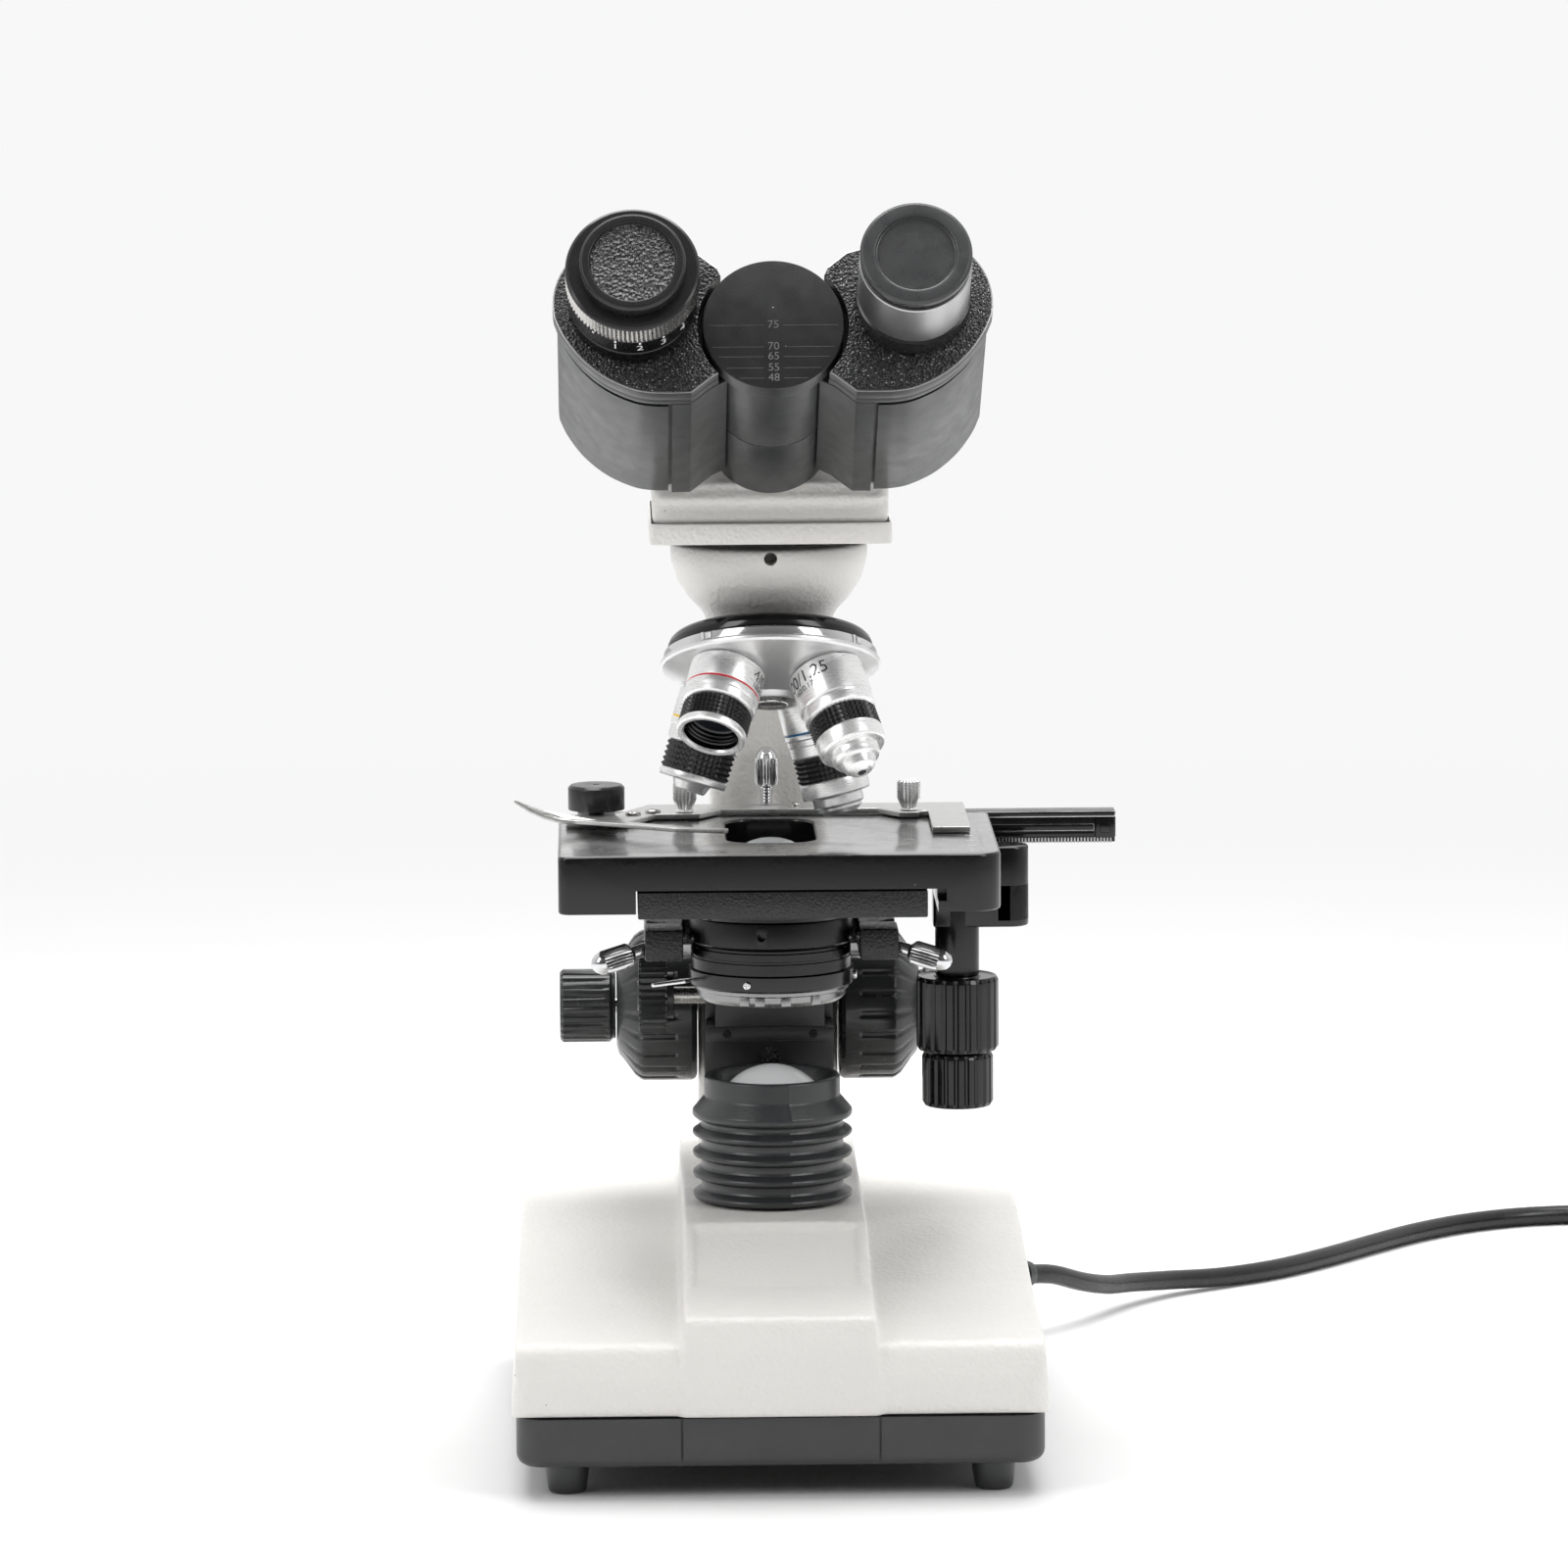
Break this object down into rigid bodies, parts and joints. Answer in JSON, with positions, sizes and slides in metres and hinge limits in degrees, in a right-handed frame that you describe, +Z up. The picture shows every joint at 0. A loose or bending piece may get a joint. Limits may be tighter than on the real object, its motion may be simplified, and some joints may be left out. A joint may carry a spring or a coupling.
{
  "type": "binocular compound microscope",
  "caption": "Binocular compound microscope with a folding inclined head, revolving nosepiece, mechanical stage, condenser, lamp base and mains lead.",
  "frame": {"origin": "middle of the bottom of the microscope's bounding box, on the table, measured without the mains lead", "axes": "+Z up, -Y towards the person looking in, +X to that person's right as seen from the front"},
  "size_m": [0.445, 0.4293, 0.3606],
  "materials": {
    "white_paint": "white fine-textured baked paint",
    "tray_plastic": "dark grey moulded plastic",
    "rubber": "black rubber",
    "plug_plastic": "black moulded plug",
    "frosted_glass": "frosted lamp lens",
    "bulb_glass": "clear lamp bulb",
    "black_paint": "black semi-gloss paint",
    "black_plastic": "black moulded plastic",
    "tube_black": "black anodised aluminium",
    "satin_metal": "satin plated metal",
    "chrome": "polished chrome"
  },
  "bodies": {
    "stand": {"base_cover": "white_paint", "base_tray": "tray_plastic", "front_left_foot": "rubber", "front_right_foot": "rubber", "rear_left_foot": "rubber", "rear_right_foot": "rubber", "lamp_boot": "rubber", "lamp_lens": "frosted_glass", "lamp_bulb": "bulb_glass", "cord_gland": "rubber", "power_cord": "rubber", "cord_coil": "rubber", "power_plug": "plug_plastic", "arm": "white_paint", "nosepiece_mount": "black_paint"},
    "switch": {"rocker_switch": "black_plastic"},
    "dial": {"brightness_dial": "black_plastic"},
    "coarse_drive": {"coarse_shaft": "chrome", "coarse_knob_left": "black_plastic", "coarse_knob_right": "black_plastic"},
    "fine_drive": {"fine_shaft": "chrome", "fine_knob_left": "black_plastic", "fine_knob_right": "black_plastic"},
    "stage_carrier": {"stage_slide": "black_paint", "stage_base": "black_paint"},
    "limit_stop": {"limit_screw": "chrome"},
    "table": {"stage_plate": "black_paint", "control_post": "black_paint"},
    "y_control": {"stage_y_knob": "black_plastic"},
    "x_control": {"stage_x_knob": "black_plastic"},
    "slide_carriage": {"x_rack_bar": "black_paint", "slide_holder": "satin_metal", "clamp_pivot": "black_plastic"},
    "finger": {"clamp_finger": "satin_metal"},
    "thumb_left": {"thumb_screw_left": "chrome"},
    "thumb_right": {"thumb_screw_right": "chrome"},
    "condenser": {"condenser_carrier": "black_paint", "condenser_body": "black_paint"},
    "iris": {"iris_ring": "black_paint"},
    "filter": {"filter_holder": "black_paint"},
    "centring_left": {"centring_screw_left": "chrome"},
    "centring_right": {"centring_screw_right": "chrome"},
    "condenser_drive": {"condenser_knob": "black_plastic"},
    "nosepiece": {"turret": "satin_metal", "objective_4x": "satin_metal", "objective_10x": "satin_metal", "objective_40x": "satin_metal", "objective_100x": "satin_metal"},
    "head": {"head_mount": "white_paint", "hinge_column": "chrome", "scale_disc": "black_plastic"},
    "left_wing": {"left_housing": "black_plastic", "left_face_plate": "black_paint", "left_eye_tube": "tube_black"},
    "right_wing": {"right_housing": "black_plastic", "right_face_plate": "black_paint", "right_eye_tube": "tube_black", "right_dust_cap": "black_plastic"},
    "diopter": {"diopter_ring": "tube_black"},
    "eyepiece_sleeve": {"left_dust_cap": "black_plastic"}
  },
  "joints": [
    {"name": "stage_focus", "type": "slide", "parent": "stand", "child": "stage_carrier", "axis": [0, 0, 1], "range_m": [-0.014, 0.002]},
    {"name": "coarse_turn", "type": "hinge", "parent": "stand", "child": "coarse_drive", "pos_m": [-0.0134, 0.0699, 0.1125], "axis": [1, 0, 0], "range_deg": [-136, 20]},
    {"name": "fine_turn", "type": "hinge", "parent": "stand", "child": "fine_drive", "pos_m": [-0.0134, 0.0699, 0.1125], "axis": [1, 0, 0], "continuous": true},
    {"name": "limit_screw_turn", "type": "hinge", "parent": "stage_carrier", "child": "limit_stop", "pos_m": [-0.0134, 0.0632, 0.1786], "axis": [0, 0, 1], "continuous": true},
    {"name": "table_y", "type": "slide", "parent": "stage_carrier", "child": "table", "axis": [0, 1, 0], "range_m": [-0.018, 0.005]},
    {"name": "y_knob_turn", "type": "hinge", "parent": "table", "child": "y_control", "pos_m": [0.0409, 0.0219, 0.117], "axis": [0, 0, 1], "range_deg": [-148, 42]},
    {"name": "carriage_x", "type": "slide", "parent": "table", "child": "slide_carriage", "axis": [1, 0, 0], "range_m": [-0.04, 0.02]},
    {"name": "x_knob_turn", "type": "hinge", "parent": "table", "child": "x_control", "pos_m": [0.0409, 0.0219, 0.098], "axis": [0, 0, 1], "range_deg": [-328, 165]},
    {"name": "finger_swing", "type": "hinge", "parent": "slide_carriage", "child": "finger", "pos_m": [-0.0634, 0.0259, 0.1756], "axis": [0, 0, -1], "range_deg": [0, 30], "stiffness_Nm_per_rad": 0.02},
    {"name": "thumb_left_turn", "type": "hinge", "parent": "slide_carriage", "child": "thumb_left", "pos_m": [-0.0377, 0.0374, 0.175], "axis": [0, 0, 1], "continuous": true},
    {"name": "thumb_right_turn", "type": "hinge", "parent": "slide_carriage", "child": "thumb_right", "pos_m": [0.0276, 0.0374, 0.175], "axis": [0, 0, 1], "continuous": true},
    {"name": "condenser_lift", "type": "slide", "parent": "stage_carrier", "child": "condenser", "axis": [0, 0, 1], "range_m": [-0.0045, 0]},
    {"name": "condenser_knob_turn", "type": "hinge", "parent": "stage_carrier", "child": "condenser_drive", "pos_m": [-0.0474, 0.0349, 0.1208], "axis": [1, 0, 0], "range_deg": [-44, 1]},
    {"name": "iris_turn", "type": "hinge", "parent": "condenser", "child": "iris", "pos_m": [-0.0134, 0.0039, 0.132], "axis": [0, 0, 1], "range_deg": [-8, 80]},
    {"name": "filter_swing", "type": "hinge", "parent": "condenser", "child": "filter", "pos_m": [-0.0339, 0.0039, 0.127], "axis": [0, 0, -1], "range_deg": [0, 75]},
    {"name": "centring_left_turn", "type": "hinge", "parent": "condenser", "child": "centring_left", "pos_m": [-0.0444, 0.0019, 0.1411], "axis": [-0.9125, -0.3309, -0.2407], "continuous": true},
    {"name": "centring_right_turn", "type": "hinge", "parent": "condenser", "child": "centring_right", "pos_m": [0.0176, 0.0019, 0.1411], "axis": [0.9125, -0.3309, -0.2407], "continuous": true},
    {"name": "nosepiece_turn", "type": "hinge", "parent": "stand", "child": "nosepiece", "pos_m": [-0.0134, -0.01202, 0.22359], "axis": [0, -0.3746, -0.9272], "continuous": true},
    {"name": "head_turn", "type": "hinge", "parent": "stand", "child": "head", "pos_m": [-0.0134, 0.0039, 0.259], "axis": [0, 0, 1], "continuous": true},
    {"name": "left_fold", "type": "hinge", "parent": "head", "child": "left_wing", "pos_m": [-0.0134, 0.0039, 0.275], "axis": [0, 0.866, -0.5], "range_deg": [0, 40]},
    {"name": "right_fold", "type": "hinge", "parent": "head", "child": "right_wing", "pos_m": [-0.0134, 0.0039, 0.275], "axis": [0, -0.866, 0.5], "range_deg": [0, 40]},
    {"name": "diopter_turn", "type": "hinge", "parent": "left_wing", "child": "diopter", "pos_m": [-0.0521, -0.08801, 0.3358], "axis": [0, -0.866, 0.5], "range_deg": [0, 120]},
    {"name": "eyepiece_focus", "type": "slide", "parent": "left_wing", "child": "eyepiece_sleeve", "axis": [0, -0.866, 0.5], "range_m": [0, 0.0025]},
    {"name": "switch_rock", "type": "hinge", "parent": "stand", "child": "switch", "pos_m": [-0.0554, 0.1049, 0.04], "axis": [1, 0, 0], "range_deg": [-7, 7]},
    {"name": "dial_turn", "type": "hinge", "parent": "stand", "child": "dial", "pos_m": [0.0266, 0.1089, 0.041], "axis": [0, 1, 0], "range_deg": [-135, 135]}
  ],
  "couplings": [
    {"joint": "coarse_turn", "follows": "stage_focus", "rad_per_m": 166.67},
    {"joint": "y_knob_turn", "follows": "table_y", "rad_per_m": 142.86},
    {"joint": "x_knob_turn", "follows": "carriage_x", "rad_per_m": 142.86},
    {"joint": "condenser_knob_turn", "follows": "condenser_lift", "rad_per_m": 166.67},
    {"joint": "right_fold", "follows": "left_fold", "ratio": 1},
    {"joint": "eyepiece_focus", "follows": "diopter_turn", "m_per_rad": 0.0011}
  ]
}
